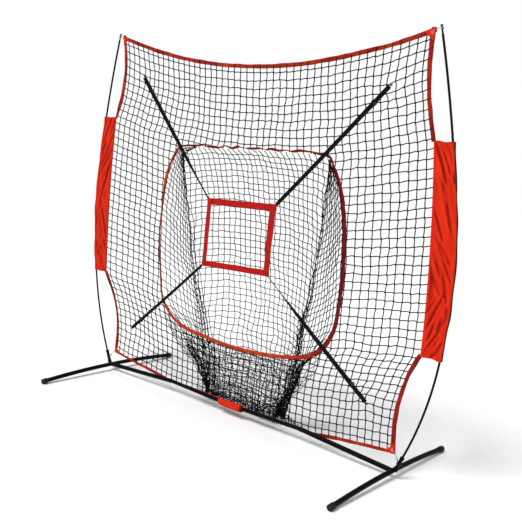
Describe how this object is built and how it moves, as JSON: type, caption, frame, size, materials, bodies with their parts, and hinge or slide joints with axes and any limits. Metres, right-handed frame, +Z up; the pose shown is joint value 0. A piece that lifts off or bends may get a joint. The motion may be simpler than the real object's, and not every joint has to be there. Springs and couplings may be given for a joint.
{
  "type": "pitching target net",
  "caption": "Free-standing bow-framed pitching net with a ball pocket behind its mouth and a red strike-zone frame hung on elastic straps.",
  "frame": {"origin": "on the floor under the middle of the base tube, midway between the feet", "axes": "+X along the base tube to the right as seen by the pitcher, -Y towards the pitcher, +Z up"},
  "size_m": [2.562, 1.0644, 2.143],
  "materials": {
    "powder_coat": "black powder coat, satin",
    "fibreglass": "pultruded fibreglass rod, semi-gloss black",
    "black_rubber": "moulded rubber, matte",
    "spring_steel": "bare spring steel",
    "plated_steel": "zinc-plated steel",
    "net_twine": "knotted black polyester twine",
    "red_fabric": "woven coated polyester, bright red",
    "red_binding": "dark red binding tape",
    "red_webbing": "woven webbing, bright red",
    "black_elastic": "knitted elastic strap, black",
    "black_plastic": "moulded plastic, black",
    "grey_cord": "braided elastic cord, grey"
  },
  "bodies": {
    "stand": {"ball_pocket": "net_twine", "base_tube_inner_left": "powder_coat", "base_tube_inner_right": "powder_coat", "base_tube_outer_left": "powder_coat", "base_tube_outer_right": "powder_coat", "centre_wrap": "red_fabric", "corner_bungee_left": "grey_cord", "corner_bungee_right": "grey_cord", "corner_eyelets": "plated_steel", "corner_hook_left": "black_plastic", "corner_hook_right": "black_plastic", "corner_patches": "red_fabric", "edge_tape_bottom": "red_binding", "edge_tape_top": "red_binding", "edge_tapes_left": "red_binding", "edge_tapes_right": "red_binding", "ferrules_left": "plated_steel", "ferrules_right": "plated_steel", "foot_cap_front_left": "black_rubber", "foot_cap_front_right": "black_rubber", "foot_cap_rear_left": "black_rubber", "foot_cap_rear_right": "black_rubber", "foot_left": "powder_coat", "foot_right": "powder_coat", "mouth_tape": "red_binding", "net_hooks": "black_plastic", "net_panel": "net_twine", "pole_lower_left": "fibreglass", "pole_lower_right": "fibreglass", "pole_middle_left": "fibreglass", "pole_middle_right": "fibreglass", "pole_socket_left": "powder_coat", "pole_socket_right": "powder_coat", "pole_tip_left": "plated_steel", "pole_tip_right": "plated_steel", "pole_upper_left": "fibreglass", "pole_upper_right": "fibreglass", "side_sleeve_left": "red_fabric", "side_sleeve_right": "red_fabric", "snap_spring_centre": "spring_steel", "snap_spring_left": "spring_steel", "snap_spring_right": "spring_steel", "target_frame": "red_webbing", "target_strap_bottom_left": "black_elastic", "target_strap_bottom_right": "black_elastic", "target_strap_top_left": "black_elastic", "target_strap_top_right": "black_elastic", "tip_knob_left": "black_plastic", "tip_knob_right": "black_plastic", "top_cord_left": "grey_cord", "top_cord_right": "grey_cord"},
    "button_left": {"snap_button_left": "spring_steel"},
    "button_right": {"snap_button_right": "spring_steel"},
    "button_centre": {"snap_button_centre": "spring_steel"},
    "adjuster_top_right": {"strap_adjuster_top_right": "black_plastic"},
    "adjuster_bottom_right": {"strap_adjuster_bottom_right": "black_plastic"},
    "adjuster_top_left": {"strap_adjuster_top_left": "black_plastic"},
    "adjuster_bottom_left": {"strap_adjuster_bottom_left": "black_plastic"},
    "flap": {"wrap_flap": "red_fabric"}
  },
  "joints": [
    {"name": "button_left_press", "type": "slide", "parent": "stand", "child": "button_left", "axis": [0, -1, 0], "range_m": [0, 0.0039], "stiffness_N_per_m": 1500, "springref_m": -0.002, "deforming": ["snap_spring_left"]},
    {"name": "button_right_press", "type": "slide", "parent": "stand", "child": "button_right", "axis": [0, -1, 0], "range_m": [0, 0.0039], "stiffness_N_per_m": 1500, "springref_m": -0.002, "deforming": ["snap_spring_right"]},
    {"name": "button_centre_press", "type": "slide", "parent": "stand", "child": "button_centre", "axis": [0, -1, 0], "range_m": [0, 0.0039], "stiffness_N_per_m": 1500, "springref_m": -0.002, "deforming": ["snap_spring_centre"]},
    {"name": "adjuster_top_right_slide", "type": "slide", "parent": "stand", "child": "adjuster_top_right", "axis": [0.7064, -0.0273, 0.7072], "range_m": [-0.3, 0.06]},
    {"name": "adjuster_bottom_right_slide", "type": "slide", "parent": "stand", "child": "adjuster_bottom_right", "axis": [0.7923, 0.0235, -0.6097], "range_m": [-0.3, 0.06]},
    {"name": "adjuster_top_left_slide", "type": "slide", "parent": "stand", "child": "adjuster_top_left", "axis": [-0.655, -0.0291, 0.7551], "range_m": [-0.3, 0.06]},
    {"name": "adjuster_bottom_left_slide", "type": "slide", "parent": "stand", "child": "adjuster_bottom_left", "axis": [-0.7597, 0.0251, -0.6498], "range_m": [-0.3, 0.06]},
    {"name": "wrap_flap_peel", "type": "hinge", "parent": "stand", "child": "flap", "pos_m": [0, -0.007, 0.08655], "axis": [-1, 0, 0], "range_deg": [0, 100]}
  ]
}
